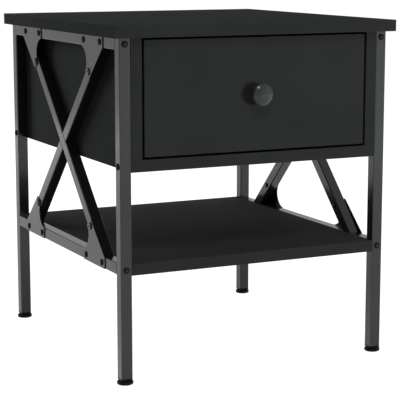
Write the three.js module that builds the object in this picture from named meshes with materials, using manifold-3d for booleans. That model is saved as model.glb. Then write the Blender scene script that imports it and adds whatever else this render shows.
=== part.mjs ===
// A side table with one drawer, a shelf and an X-braced steel frame on each side.
// Millimetres, +Z up, the drawer opens towards -Y. The origin is on the floor, under the
// centre of the table's outer box, which reaches from the knob to the back of the table top.

import * as THREE from "three";
import { mergeVertices } from "three/addons/utils/BufferGeometryUtils.js";
import Module from "manifold-3d";

const wasm = await Module();
wasm.setup();

// ---- Driving dimensions ----

const TOP_WIDTH = 400;
const TOP_DEPTH = 420;
const TABLE_HEIGHT = 450;
const TOP_OVERHANG = 9.5;
const BOARD = 15; // thickness of every large board
const TUBE = 15; // outer width of every square tube
const TUBE_WALL = 1.5;
const TUBE_CORNER = 1.25;
const WELD_GAP = 0.25; // between welded bars, and around a plug in its tube

const SHELF_TOP = 155;
const CARCASS_FLOOR = 284.5; // upper face of the panel below the drawer
const FOOT_HEIGHT = 8;
const FOOT_RADIUS = 10.5;

const FOOT_RIM = 1.5; // chamfer of the round pad
const FOOT_PAD = 4.5; // thickness of the pad
const FOOT_NECK_RADIUS = 6;
const FOOT_COLLAR_BOTTOM = 5.5;
const FOOT_PLUG_LENGTH = 14; // up inside the leg
const RAIL_PLUG = 10; // solid ends of the rails, which take the screws

const SHANK_RADIUS = 2;
const SHANK_HOLE_RADIUS = 2.25;
const HEAD_RADIUS = 4.2;
const HEAD_HEIGHT = 2;
const HEAD_RIM = 0.9; // height of the straight rim below the dome
const HEAD_SHOULDER_RADIUS = 2.94; // of the edge half way up the dome
const HEAD_SHOULDER = 1.7; // height of that edge
const RAIL_SCREW_LENGTH = 23;
const CARCASS_SCREW_LENGTH = 35;

const GUSSET_THICKNESS = 1.25;
// Places on a gusset plate, as distances from the middle of its side frame: along the depth,
// then in height.
const GUSSET_NEAR = 77;
const GUSSET_FAR = 149;
const GUSSET_TIP = [103, 91];
const GUSSET_SCREWS = [85, 140];
const GUSSET_SCREW_REACH = 8; // behind the plate
const NOTCH = { along: 74, up: 111.5, radius: 21, endAngle: -0.65 };
const BAR_BOLT = 100; // on the bar's centre line, equally far along both directions
const BAR_BOLT_HEAD_RADIUS = 5;
const BAR_BOLT_HEAD = 2;
const BAR_BOLT_REACH = 10; // behind the plate, at the upper ends
const BAR_NUT_RADIUS = 3.5;
const BAR_NUT = 1.5;

const FRONT_GAP = 3; // around the drawer front
const DRAWER_SIDE = 12; // thickness of the drawer's sides and back
const DRAWER_DEPTH = 350; // behind the drawer front
const RUNNER_SPACE = 12.5; // between drawer box and carcass on each side
const DRAWER_BOX_BOTTOM = 300;
const DRAWER_BOX_TOP = 400;
const PANEL = 3; // thickness of the drawer's bottom
const PANEL_HEIGHT = 10; // of its underside, above the lower edges of the drawer's sides
const GROOVE_DEPTH = 4;
const GROOVE_CLEARANCE = 0.25;

const RUNNER_SHEET = 1.25;
const RUNNER_INSET = 3; // of the carcass runner, behind the drawer front
const RUNNER_START = 0.5; // of the drawer runner, behind the drawer front
const AXLE_INSET = 15;
const AXLE_HEIGHT = 8.5; // above the lower edges of the drawer's sides
const AXLE_PAST_ROLLER = 0.5;
const ROLLER_RADIUS = 6;
const ROLLER_WIDTH = 6;
const ROLLER_CHAMFER = 0.5;
const ROLLER_BORE_RADIUS = 2.25;
const ROLLER_CLEARANCE = 0.25;

// Along the knob, every reach is measured from the drawer front.
const KNOB_REACH = 20;
const KNOB_BASE_RADIUS = 11.5;
const KNOB_BASE = 1.2;
const KNOB_STEP_RADIUS = 9.5;
const KNOB_STEP = [1.9, 3];
const KNOB_NECK_RADIUS = 7.5;
const KNOB_NECK = [5, 7];
const KNOB_FLARE = [
  [9, 9.6],
  [12.7, 12],
]; // [radius, reach] of the edges between the neck and the rim
const KNOB_RADIUS = 14.25; // of the rim
const KNOB_RIM = [13.5, 14.5];
const KNOB_FACE_RADIUS = 13.7; // where the domed face begins
const KNOB_FACE_RISE = 4.65;
const KNOB_BORE_DEPTH = 12;
const KNOB_SCREW_HEAD_RADIUS = 4;
const KNOB_SCREW_HEAD = 2;

// ---- Construction ----

const CUT_PAST = 1; // how far a cutting body reaches past what it cuts
const JOIN_DEPTH = 0.5; // how far bodies that are joined reach into each other
const SHANK_SIDES = 6;
const HEAD_SIDES = 12;
const BOLT_HEAD_SIDES = 16;
const ROLLER_SIDES = 16;
const FOOT_SIDES = 20;
const KNOB_SIDES = 32;
const KNOB_FACE_STEPS = 4;
const NOTCH_STEPS = 6;
const CORNER_STEPS = 2;

// ---- Places worked out from them ----

const frameHalfWidth = TOP_WIDTH / 2 - TOP_OVERHANG;
const frameHalfDepth = TOP_DEPTH / 2 - TOP_OVERHANG;
const innerHalfWidth = frameHalfWidth - TUBE;
const innerHalfDepth = frameHalfDepth - TUBE;
const topUnderside = TABLE_HEIGHT - BOARD;
const upperRailBottom = topUnderside - TUBE;
const lowerRailBottom = SHELF_TOP - TUBE;
const braceCentreHeight = (upperRailBottom + SHELF_TOP) / 2;
const openingHalfWidth = innerHalfWidth - BOARD;
const frontHalfWidth = openingHalfWidth - FRONT_GAP;
const frontBottom = CARCASS_FLOOR + FRONT_GAP;
const frontTop = topUnderside - FRONT_GAP;
const drawerHalfWidth = openingHalfWidth - RUNNER_SPACE;
const boxFront = -frameHalfDepth + BOARD;
const boxBack = boxFront + DRAWER_DEPTH;
const panelBottom = DRAWER_BOX_BOTTOM + PANEL_HEIGHT;
const knobHeight = (frontBottom + frontTop) / 2;
const originShift = (KNOB_REACH - TOP_OVERHANG) / 2;

// The brace's rails, from the middle of the side frame.
const railEdge = upperRailBottom - braceCentreHeight;
const railOuterEdge = railEdge + TUBE;
const railMiddle = railEdge + TUBE / 2;

// ---- Materials ----

function material(color, roughness, metalness) {
  return new THREE.MeshStandardMaterial({ color, roughness, metalness });
}

const steel = material(0x474a48, 0.55, 0.3);
const board = material(0x2b2e2d, 0.6, 0);
const drawerBoard = material(0x343635, 0.65, 0);
const blackPlastic = material(0x141615, 0.5, 0);
const screwSteel = material(0x1d1f1e, 0.4, 0.8);
const runnerSteel = material(0x232524, 0.4, 0.3);
const rollerPlastic = material(0xd8d6cf, 0.45, 0);
const knobMetal = material(0x4a4c4b, 0.35, 0.5);

// ---- Solids ----

// A closed geometry as a solid that can be cut and joined.
function solid(geometry) {
  const bare = geometry.clone();
  bare.deleteAttribute("normal");
  bare.deleteAttribute("uv");
  const merged = mergeVertices(bare, 1e-4);
  return new wasm.Manifold(
    new wasm.Mesh({
      numProp: 3,
      vertProperties: merged.attributes.position.array,
      triVerts: new Uint32Array(merged.index.array),
    }),
  );
}

function geometryOf(body) {
  const { vertProperties, triVerts } = body.getMesh();
  const geometry = new THREE.BufferGeometry();
  geometry.setAttribute("position", new THREE.BufferAttribute(vertProperties, 3));
  geometry.setIndex(new THREE.BufferAttribute(triVerts, 1));
  const faceted = geometry.toNonIndexed();
  faceted.computeVertexNormals();
  return faceted;
}

// A box given by its low and high corners.
function block(low, high) {
  const size = high.map((value, axis) => value - low[axis]);
  const centre = high.map((value, axis) => (value + low[axis]) / 2);
  const geometry = new THREE.BoxGeometry(...size);
  geometry.translate(...centre);
  return geometry;
}

// Turns a geometry made around the Y axis so that it lies along the named axis.
function along(axis, geometry) {
  if (axis === "x") {
    geometry.rotateZ(-Math.PI / 2);
  }
  if (axis === "z") {
    geometry.rotateX(Math.PI / 2);
  }
  return geometry;
}

// A round rod between two points that differ only along the named axis.
function rod(axis, from, to, radius, sides = SHANK_SIDES) {
  const length = new THREE.Vector3(...from).distanceTo(new THREE.Vector3(...to));
  const geometry = along(axis, new THREE.CylinderGeometry(radius, radius, length, sides));
  const centre = from.map((value, i) => (value + to[i]) / 2);
  geometry.translate(...centre);
  return geometry;
}

// A solid of revolution around the Y axis from [radius, height] pairs.
function turned(profile, segments) {
  const points = profile.map(([radius, height]) => new THREE.Vector2(radius, height));
  return new THREE.LatheGeometry(points, segments);
}

function subtractAll(body, cuts) {
  return cuts.reduce((left, cut) => left.subtract(solid(cut)), body);
}

function roundedSquare(size, radius) {
  const flat = size / 2 - radius;
  const shape = new THREE.Shape();
  shape.absarc(flat, flat, radius, 0, Math.PI / 2);
  shape.absarc(-flat, flat, radius, Math.PI / 2, Math.PI);
  shape.absarc(-flat, -flat, radius, Math.PI, 1.5 * Math.PI);
  shape.absarc(flat, -flat, radius, 1.5 * Math.PI, 2 * Math.PI);
  shape.closePath();
  return shape;
}

// A square tube from z = 0 to its length, hollow between the two plugged ends.
function squareTube(length, plug = 0) {
  const outer = new THREE.ExtrudeGeometry(roundedSquare(TUBE, TUBE_CORNER), {
    depth: length,
    bevelEnabled: false,
    curveSegments: CORNER_STEPS,
  });
  const half = TUBE / 2 - TUBE_WALL;
  const beyond = plug ? -plug : CUT_PAST;
  const hollow = block([-half, -half, -beyond], [half, half, length + beyond]);
  return solid(outer).subtract(solid(hollow));
}

// ---- The table ----

const table = new THREE.Group();
table.position.y = originShift;

function add(name, shape, look) {
  const geometry = shape instanceof THREE.BufferGeometry ? shape : geometryOf(shape);
  const mesh = new THREE.Mesh(geometry, look);
  mesh.name = name;
  table.add(mesh);
}

const sides = [
  { word: "left", sign: -1 },
  { word: "right", sign: 1 },
];
const ends = [
  { word: "front", sign: -1 },
  { word: "rear", sign: 1 },
];
const levels = [
  { word: "upper", sign: 1 },
  { word: "lower", sign: -1 },
];

const legX = frameHalfWidth - TUBE / 2;
const legY = frameHalfDepth - TUBE / 2;
const railHeights = levels.map(({ sign }) => braceCentreHeight + sign * railMiddle);
const carcassScrewZ = CARCASS_FLOOR - BOARD / 2;

// A round rod through an outer face of the frame, along x or y, between two depths behind it.
function rodBehind(axis, outer, from, to, radius) {
  const index = axis === "x" ? 0 : 1;
  const inwards = -Math.sign(outer[index]);
  const [start, end] = [from, to].map((depth) => {
    const point = [...outer];
    point[index] += inwards * depth;
    return point;
  });
  return rod(axis, start, end, radius);
}

// The low domed head of a screw on an outer face of the frame. It can reach behind that face.
function screwHead(axis, outer, behind = 0) {
  const head = turned(
    [
      [0, -behind],
      [HEAD_RADIUS, -behind],
      [HEAD_RADIUS, HEAD_RIM],
      [HEAD_SHOULDER_RADIUS, HEAD_SHOULDER],
      [0, HEAD_HEIGHT],
    ],
    HEAD_SIDES,
  );
  if (outer[axis === "x" ? 0 : 1] < 0) {
    head.rotateX(Math.PI);
  }
  along(axis, head);
  head.translate(...outer);
  return solid(head);
}

function screw(axis, outer, length) {
  return screwHead(axis, outer).add(
    solid(rodBehind(axis, outer, -JOIN_DEPTH, length, SHANK_RADIUS)),
  );
}

// ---- Table top, legs and feet ----

add(
  "table_top",
  block(
    [-TOP_WIDTH / 2, -TOP_DEPTH / 2, topUnderside],
    [TOP_WIDTH / 2, TOP_DEPTH / 2, TABLE_HEIGHT],
  ),
  board,
);

function leg(x, y) {
  const tube = squareTube(topUnderside - FOOT_HEIGHT).translate([x * legX, y * legY, FOOT_HEIGHT]);
  const hole = (axis, outer) =>
    rodBehind(axis, outer, -CUT_PAST, TUBE + CUT_PAST, SHANK_HOLE_RADIUS);
  const railHoles = railHeights.map((z) => hole("y", [x * legX, y * frameHalfDepth, z]));
  const carcassHole = hole("x", [x * frameHalfWidth, y * legY, carcassScrewZ]);
  return subtractAll(tube, [...railHoles, carcassHole]);
}

// A plastic cap: a round pad, a square collar under the tube and a plug up inside it.
function footCap(x, y) {
  const pad = turned(
    [
      [0, 0],
      [FOOT_RADIUS - FOOT_RIM, 0],
      [FOOT_RADIUS, FOOT_RIM],
      [FOOT_RADIUS, FOOT_PAD - FOOT_RIM],
      [FOOT_RADIUS - FOOT_RIM, FOOT_PAD],
      [FOOT_NECK_RADIUS, FOOT_PAD],
      [FOOT_NECK_RADIUS, FOOT_COLLAR_BOTTOM + JOIN_DEPTH],
      [0, FOOT_COLLAR_BOTTOM + JOIN_DEPTH],
    ],
    FOOT_SIDES,
  );
  const collar = new THREE.ExtrudeGeometry(roundedSquare(TUBE, TUBE_CORNER), {
    depth: FOOT_HEIGHT - FOOT_COLLAR_BOTTOM,
    bevelEnabled: false,
    curveSegments: CORNER_STEPS,
  });
  collar.translate(0, 0, FOOT_COLLAR_BOTTOM);
  const plugHalf = TUBE / 2 - TUBE_WALL - WELD_GAP;
  const plug = block(
    [-plugHalf, -plugHalf, FOOT_HEIGHT - JOIN_DEPTH],
    [plugHalf, plugHalf, FOOT_HEIGHT + FOOT_PLUG_LENGTH],
  );
  const cap = solid(along("z", pad)).add(solid(collar)).add(solid(plug));
  return cap.translate([x * legX, y * legY, 0]);
}

for (const side of sides) {
  for (const end of ends) {
    const corner = `${end.word}_${side.word}`;
    add(`leg_${corner}`, leg(side.sign, end.sign), steel);
    add(`foot_cap_${corner}`, footCap(side.sign, end.sign), blackPlastic);
    levels.forEach(({ word }, i) => {
      const outer = [side.sign * legX, end.sign * frameHalfDepth, railHeights[i]];
      add(`${word}_rail_screw_${corner}`, screw("y", outer, RAIL_SCREW_LENGTH), screwSteel);
    });
    const outer = [side.sign * frameHalfWidth, end.sign * legY, carcassScrewZ];
    add(`carcass_screw_${corner}`, screw("x", outer, CARCASS_SCREW_LENGTH), screwSteel);
  }
}

// ---- Rails, braces and gusset plates ----

// A hole through the outer wall of a side frame's tube.
function wallHole(side, y, z) {
  const outside = side * (frameHalfWidth + CUT_PAST);
  const inside = side * (frameHalfWidth - TUBE_WALL - CUT_PAST);
  return rod("x", [outside, y, z], [inside, y, z], SHANK_HOLE_RADIUS);
}

function rail(side, level) {
  const length = 2 * innerHalfDepth;
  const z = railHeights[level];
  const x = side * legX;
  const tube = squareTube(length, RAIL_PLUG).rotate([-90, 0, 0]).translate([x, -innerHalfDepth, z]);
  const plugEnd = innerHalfDepth - RAIL_PLUG - CUT_PAST;
  const endHoles = [-1, 1].map((end) =>
    rod("y", [x, end * plugEnd, z], [x, end * frameHalfDepth, z], SHANK_HOLE_RADIUS),
  );
  const gussetHoles = GUSSET_SCREWS.flatMap((distance) => [
    wallHole(side, -distance, z),
    wallHole(side, distance, z),
  ]);
  return subtractAll(tube, [...endHoles, ...gussetHoles]);
}

// A brace bar whose upper end lies towards the given end of the table, cut level at the rails.
function braceBar(side, upperEnd) {
  const length = 2 * (railEdge + TUBE) * Math.SQRT2;
  const tube = squareTube(length)
    .translate([0, 0, -length / 2])
    .rotate([-45 * upperEnd, 0, 0])
    .translate([side * legX, 0, braceCentreHeight]);
  const reach = 2 * railEdge;
  const clear = railEdge - WELD_GAP;
  const past = frameHalfWidth + CUT_PAST;
  const above = block(
    [-past, -reach, braceCentreHeight + clear],
    [past, reach, braceCentreHeight + reach],
  );
  const below = block(
    [-past, -reach, braceCentreHeight - reach],
    [past, reach, braceCentreHeight - clear],
  );
  const upperBoltHole = wallHole(side, upperEnd * BAR_BOLT, braceCentreHeight + BAR_BOLT);
  const lowerBoltHole = rod(
    "x",
    [side * past, -upperEnd * BAR_BOLT, braceCentreHeight - BAR_BOLT],
    [side * (innerHalfWidth - CUT_PAST), -upperEnd * BAR_BOLT, braceCentreHeight - BAR_BOLT],
    SHANK_HOLE_RADIUS,
  );
  return subtractAll(tube, [above, below, upperBoltHole, lowerBoltHole]);
}

// What the through bar and everything past it on one side takes away from the bar that meets it.
function beyondThroughBar(towards) {
  const reach = 3 * railEdge;
  const past = frameHalfWidth + CUT_PAST;
  const geometry = block([-past, -reach, -TUBE / 2 - WELD_GAP], [past, reach, reach]);
  geometry.rotateX(towards * Math.PI - 3 * Math.PI / 4);
  geometry.translate(0, 0, braceCentreHeight);
  return geometry;
}

// A gusset plate with its two rail screws and its bar bolt.
function gusset(side, end, level) {
  const place = (distance, height) => [end * distance, braceCentreHeight + level * height];
  const startAngle = Math.asin((railEdge - NOTCH.up) / NOTCH.radius);
  const outline = [
    [GUSSET_NEAR, railOuterEdge],
    [GUSSET_FAR, railOuterEdge],
    [GUSSET_FAR, railEdge],
    GUSSET_TIP,
  ];
  for (let step = 0; step <= NOTCH_STEPS; step += 1) {
    const angle = THREE.MathUtils.lerp(NOTCH.endAngle, startAngle, step / NOTCH_STEPS);
    outline.push([
      NOTCH.along + NOTCH.radius * Math.cos(angle),
      NOTCH.up + NOTCH.radius * Math.sin(angle),
    ]);
  }
  outline.push([GUSSET_NEAR, railEdge]);
  const shape = new THREE.Shape(outline.map((point) => new THREE.Vector2(...place(...point))));
  const plate = new THREE.ExtrudeGeometry(shape, { depth: GUSSET_THICKNESS, bevelEnabled: false });
  const toYZ = new THREE.Matrix4().makeBasis(
    new THREE.Vector3(0, 1, 0),
    new THREE.Vector3(0, 0, 1),
    new THREE.Vector3(1, 0, 0),
  );
  plate.applyMatrix4(toYZ);
  plate.translate(side > 0 ? frameHalfWidth : -frameHalfWidth - GUSSET_THICKNESS, 0, 0);

  const face = frameHalfWidth + GUSSET_THICKNESS;
  const pin = (distance, height, from, to, radius, pinSides) => {
    const centre = place(distance, height);
    return solid(rod("x", [side * from, ...centre], [side * to, ...centre], radius, pinSides));
  };
  const screwTip = frameHalfWidth - GUSSET_SCREW_REACH;
  const boltTop = face + BAR_BOLT_HEAD;
  const nutEnd = innerHalfWidth - BAR_NUT;
  let body = solid(plate);
  for (const distance of GUSSET_SCREWS) {
    body = body
      .add(screwHead("x", [side * face, ...place(distance, railMiddle)], JOIN_DEPTH))
      .add(pin(distance, railMiddle, face, screwTip, SHANK_RADIUS));
  }
  body = body.add(
    pin(BAR_BOLT, BAR_BOLT, boltTop, frameHalfWidth, BAR_BOLT_HEAD_RADIUS, BOLT_HEAD_SIDES),
  );
  if (level > 0) {
    return body.add(pin(BAR_BOLT, BAR_BOLT, face, frameHalfWidth - BAR_BOLT_REACH, SHANK_RADIUS));
  }
  return body
    .add(pin(BAR_BOLT, BAR_BOLT, face, nutEnd, SHANK_RADIUS))
    .add(pin(BAR_BOLT, BAR_BOLT, innerHalfWidth, nutEnd, BAR_NUT_RADIUS, HEAD_SIDES));
}

for (const side of sides) {
  levels.forEach(({ word }, i) => {
    add(`${word}_side_rail_${side.word}`, rail(side.sign, i), steel);
  });
  add(`brace_through_bar_${side.word}`, braceBar(side.sign, 1), steel);
  const crossing = braceBar(side.sign, -1);
  add(`brace_upper_bar_${side.word}`, crossing.subtract(solid(beyondThroughBar(0))), steel);
  add(`brace_lower_bar_${side.word}`, crossing.subtract(solid(beyondThroughBar(1))), steel);
  for (const level of levels) {
    for (const end of ends) {
      const name = `gusset_${level.word}_${end.word}_${side.word}`;
      add(name, gusset(side.sign, end.sign, level.sign), steel);
    }
  }
}

// ---- Shelf and drawer carcass ----

add(
  "shelf",
  block(
    [-innerHalfWidth, -frameHalfDepth, lowerRailBottom],
    [innerHalfWidth, frameHalfDepth, SHELF_TOP],
  ),
  board,
);

const carcassBottom = block(
  [-innerHalfWidth, -frameHalfDepth, CARCASS_FLOOR - BOARD],
  [innerHalfWidth, frameHalfDepth, CARCASS_FLOOR],
);
const pilotStart = innerHalfWidth + CUT_PAST;
const pilotEnd = frameHalfWidth - CARCASS_SCREW_LENGTH - CUT_PAST;
const pilotHoles = [-1, 1].flatMap((x) =>
  [-legY, legY].map((y) =>
    rod("x", [x * pilotStart, y, carcassScrewZ], [x * pilotEnd, y, carcassScrewZ], SHANK_HOLE_RADIUS),
  ),
);
add("carcass_bottom", subtractAll(solid(carcassBottom), pilotHoles), board);

for (const side of sides) {
  const inner = side.sign * openingHalfWidth;
  const outer = side.sign * innerHalfWidth;
  add(
    `carcass_side_${side.word}`,
    block(
      [Math.min(inner, outer), -frameHalfDepth, CARCASS_FLOOR],
      [Math.max(inner, outer), frameHalfDepth, topUnderside],
    ),
    board,
  );
}

add(
  "carcass_back",
  block(
    [-openingHalfWidth, frameHalfDepth - BOARD, CARCASS_FLOOR],
    [openingHalfWidth, frameHalfDepth, topUnderside],
  ),
  board,
);

// ---- Drawer ----

const drawerInnerHalfWidth = drawerHalfWidth - DRAWER_SIDE;
const grooveHalfWidth = drawerInnerHalfWidth + GROOVE_DEPTH + GROOVE_CLEARANCE;
const grooveFront = boxFront - GROOVE_DEPTH - GROOVE_CLEARANCE;

// The slot that holds the drawer's bottom, cut into the sides and the front.
const groove = block(
  [-grooveHalfWidth, grooveFront, panelBottom - GROOVE_CLEARANCE],
  [grooveHalfWidth, boxBack + CUT_PAST, panelBottom + PANEL + GROOVE_CLEARANCE],
);

const frontBoard = block(
  [-frontHalfWidth, -frameHalfDepth, frontBottom],
  [frontHalfWidth, boxFront, frontTop],
);
const knobScrewHole = rod(
  "y",
  [0, -frameHalfDepth - CUT_PAST, knobHeight],
  [0, boxFront + CUT_PAST, knobHeight],
  SHANK_HOLE_RADIUS,
);
add("drawer_front", subtractAll(solid(frontBoard), [groove, knobScrewHole]), board);

for (const side of sides) {
  const outer = side.sign * drawerHalfWidth;
  const inner = side.sign * drawerInnerHalfWidth;
  const sideBoard = block(
    [Math.min(inner, outer), boxFront, DRAWER_BOX_BOTTOM],
    [Math.max(inner, outer), boxBack, DRAWER_BOX_TOP],
  );
  add(`drawer_side_${side.word}`, subtractAll(solid(sideBoard), [groove]), drawerBoard);
}

add(
  "drawer_back",
  block(
    [-drawerInnerHalfWidth, boxBack - DRAWER_SIDE, panelBottom + PANEL],
    [drawerInnerHalfWidth, boxBack, DRAWER_BOX_TOP],
  ),
  drawerBoard,
);

add(
  "drawer_bottom",
  block(
    [-drawerInnerHalfWidth - GROOVE_DEPTH, boxFront - GROOVE_DEPTH, panelBottom],
    [drawerInnerHalfWidth + GROOVE_DEPTH, boxBack, panelBottom + PANEL],
  ),
  drawerBoard,
);

// ---- Knob ----

// The knob's domed face, from its rim to the middle, as [radius, reach] pairs.
function knobFace() {
  const sphere = (KNOB_FACE_RADIUS ** 2 + KNOB_FACE_RISE ** 2) / (2 * KNOB_FACE_RISE);
  const widest = Math.asin(KNOB_FACE_RADIUS / sphere);
  const points = [];
  for (let step = 0; step < KNOB_FACE_STEPS; step += 1) {
    const angle = widest * (1 - step / KNOB_FACE_STEPS);
    points.push([sphere * Math.sin(angle), KNOB_REACH - sphere * (1 - Math.cos(angle))]);
  }
  return [...points, [0, KNOB_REACH]];
}

// A stepped base against the drawer front, a neck, and a head that widens to a round rim.
const knobProfile = [
  [0, 0],
  [KNOB_BASE_RADIUS, 0],
  [KNOB_BASE_RADIUS, KNOB_BASE],
  ...KNOB_STEP.map((reach) => [KNOB_STEP_RADIUS, reach]),
  ...KNOB_NECK.map((reach) => [KNOB_NECK_RADIUS, reach]),
  ...KNOB_FLARE,
  ...KNOB_RIM.map((reach) => [KNOB_RADIUS, reach]),
  ...knobFace(),
];
const knob = turned(knobProfile, KNOB_SIDES);
knob.rotateX(Math.PI);
knob.translate(0, -frameHalfDepth, knobHeight);
const knobBore = rod(
  "y",
  [0, -frameHalfDepth + CUT_PAST, knobHeight],
  [0, -frameHalfDepth - KNOB_BORE_DEPTH, knobHeight],
  SHANK_HOLE_RADIUS,
);
add("knob", subtractAll(solid(knob), [knobBore]), knobMetal);

const knobScrewHead = rod(
  "y",
  [0, boxFront, knobHeight],
  [0, boxFront + KNOB_SCREW_HEAD, knobHeight],
  KNOB_SCREW_HEAD_RADIUS,
  HEAD_SIDES,
);
const knobScrewShank = rod(
  "y",
  [0, boxFront + JOIN_DEPTH, knobHeight],
  [0, -frameHalfDepth - KNOB_BORE_DEPTH + CUT_PAST, knobHeight],
  SHANK_RADIUS,
);
add("knob_screw", solid(knobScrewHead).add(solid(knobScrewShank)), screwSteel);

// ---- Drawer runners ----

const rollerZ = DRAWER_BOX_BOTTOM + AXLE_HEIGHT;
const rollerCentreX = drawerHalfWidth + RUNNER_SPACE / 2;
const rollerInnerX = rollerCentreX - ROLLER_WIDTH / 2;
const rollerOuterX = rollerCentreX + ROLLER_WIDTH / 2;
const frontRollerY = boxFront + AXLE_INSET;
const rearRollerY = boxBack - AXLE_INSET;
const trackTop = rollerZ - ROLLER_RADIUS - ROLLER_CLEARANCE;
const flangeBottom = rollerZ + ROLLER_RADIUS + ROLLER_CLEARANCE;

function mirroredBlock(side, nearX, farX, low, high) {
  const xs = [side * nearX, side * farX];
  return block([Math.min(...xs), ...low], [Math.max(...xs), ...high]);
}

// Screwed to the carcass side: a web with a track below, and an axle at the front.
function cabinetRunner(side) {
  const web = mirroredBlock(
    side,
    openingHalfWidth - RUNNER_SHEET,
    openingHalfWidth,
    [boxFront + RUNNER_INSET, trackTop - RUNNER_SHEET],
    [boxBack, flangeBottom],
  );
  const track = mirroredBlock(
    side,
    rollerInnerX - AXLE_PAST_ROLLER,
    openingHalfWidth,
    [boxFront + RUNNER_INSET, trackTop - RUNNER_SHEET],
    [boxBack, trackTop],
  );
  const axle = rod(
    "x",
    [side * (rollerInnerX - AXLE_PAST_ROLLER), frontRollerY, rollerZ],
    [side * openingHalfWidth, frontRollerY, rollerZ],
    SHANK_RADIUS,
  );
  return solid(web).add(solid(track)).add(solid(axle));
}

// Screwed to the drawer side: a web with a flange above, and an axle at the rear.
function drawerRunner(side) {
  const web = mirroredBlock(
    side,
    drawerHalfWidth,
    drawerHalfWidth + RUNNER_SHEET,
    [boxFront + RUNNER_START, DRAWER_BOX_BOTTOM],
    [boxBack, flangeBottom + RUNNER_SHEET],
  );
  const flange = mirroredBlock(
    side,
    drawerHalfWidth,
    rollerOuterX + AXLE_PAST_ROLLER,
    [boxFront + RUNNER_START, flangeBottom],
    [boxBack, flangeBottom + RUNNER_SHEET],
  );
  const axle = rod(
    "x",
    [side * drawerHalfWidth, rearRollerY, rollerZ],
    [side * (rollerOuterX + AXLE_PAST_ROLLER), rearRollerY, rollerZ],
    SHANK_RADIUS,
  );
  return solid(web).add(solid(flange)).add(solid(axle));
}

function roller(side, y) {
  const half = ROLLER_WIDTH / 2;
  const ring = turned(
    [
      [ROLLER_BORE_RADIUS, -half],
      [ROLLER_RADIUS - ROLLER_CHAMFER, -half],
      [ROLLER_RADIUS, -half + ROLLER_CHAMFER],
      [ROLLER_RADIUS, half - ROLLER_CHAMFER],
      [ROLLER_RADIUS - ROLLER_CHAMFER, half],
      [ROLLER_BORE_RADIUS, half],
      [ROLLER_BORE_RADIUS, -half],
    ],
    ROLLER_SIDES,
  );
  const geometry = along("x", ring);
  geometry.translate(side * rollerCentreX, y, rollerZ);
  return geometry;
}

for (const side of sides) {
  add(`cabinet_runner_${side.word}`, cabinetRunner(side.sign), runnerSteel);
  add(`drawer_runner_${side.word}`, drawerRunner(side.sign), runnerSteel);
  add(`cabinet_roller_${side.word}`, roller(side.sign, frontRollerY), rollerPlastic);
  add(`drawer_roller_${side.word}`, roller(side.sign, rearRollerY), rollerPlastic);
}

export default table;
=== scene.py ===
import math

import bmesh
import bpy
from mathutils import Matrix, Vector


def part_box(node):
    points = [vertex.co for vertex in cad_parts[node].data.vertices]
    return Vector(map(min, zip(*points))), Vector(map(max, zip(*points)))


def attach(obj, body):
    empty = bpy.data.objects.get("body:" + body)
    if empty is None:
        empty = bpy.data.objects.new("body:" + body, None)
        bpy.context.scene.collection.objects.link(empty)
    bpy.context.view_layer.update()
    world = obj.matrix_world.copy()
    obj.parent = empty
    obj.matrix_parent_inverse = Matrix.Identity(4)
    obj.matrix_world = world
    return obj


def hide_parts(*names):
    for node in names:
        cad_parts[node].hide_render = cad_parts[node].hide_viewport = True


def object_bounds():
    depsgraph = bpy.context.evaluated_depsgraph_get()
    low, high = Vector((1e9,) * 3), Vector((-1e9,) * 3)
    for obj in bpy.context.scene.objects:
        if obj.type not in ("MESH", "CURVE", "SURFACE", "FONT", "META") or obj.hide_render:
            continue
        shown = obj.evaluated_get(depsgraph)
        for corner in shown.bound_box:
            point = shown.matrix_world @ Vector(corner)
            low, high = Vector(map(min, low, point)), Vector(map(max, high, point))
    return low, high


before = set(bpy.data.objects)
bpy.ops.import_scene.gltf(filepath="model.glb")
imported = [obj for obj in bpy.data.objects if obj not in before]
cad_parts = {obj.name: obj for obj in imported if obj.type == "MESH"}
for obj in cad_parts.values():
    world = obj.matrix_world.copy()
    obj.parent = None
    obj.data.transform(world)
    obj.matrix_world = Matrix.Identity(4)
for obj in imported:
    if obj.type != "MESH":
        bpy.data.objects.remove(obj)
CAD_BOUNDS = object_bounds()

MM = 0.001
AXES = {"x": 0, "y": 1, "z": 2}
SIDES = {"left": -1, "right": 1}
ENDS = {"front": -1, "rear": 1}
LEVELS = {"upper": 1, "lower": -1}

# ---- Camera and light ----

CAMERA_AZIMUTH = math.radians(-25.73)
CAMERA_ELEVATION = math.radians(9.58)
CAMERA_DISTANCE = 2.060
CAMERA_AIM = Vector((0.0077, -0.0095, -0.0308))  # from the middle of the object
LENS = 132.0  # millimetres, like the sensor
SENSOR_WIDTH = 36
LIGHT_AIM = Vector((0, 0, 0.25))


def make_camera():
    low, high = CAD_BOUNDS
    data = bpy.data.cameras.new("camera")
    data.lens = LENS
    data.sensor_width = SENSOR_WIDTH
    camera = bpy.data.objects.new("camera", data)
    bpy.context.scene.collection.objects.link(camera)
    back = Vector((
        math.sin(CAMERA_AZIMUTH) * math.cos(CAMERA_ELEVATION),
        -math.cos(CAMERA_AZIMUTH) * math.cos(CAMERA_ELEVATION),
        math.sin(CAMERA_ELEVATION),
    ))
    camera.location = (low + high) / 2 + CAMERA_AIM + back * CAMERA_DISTANCE
    camera.rotation_mode = "QUATERNION"
    camera.rotation_quaternion = (-back).to_track_quat("-Z", "Y")
    bpy.context.scene.camera = camera


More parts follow.
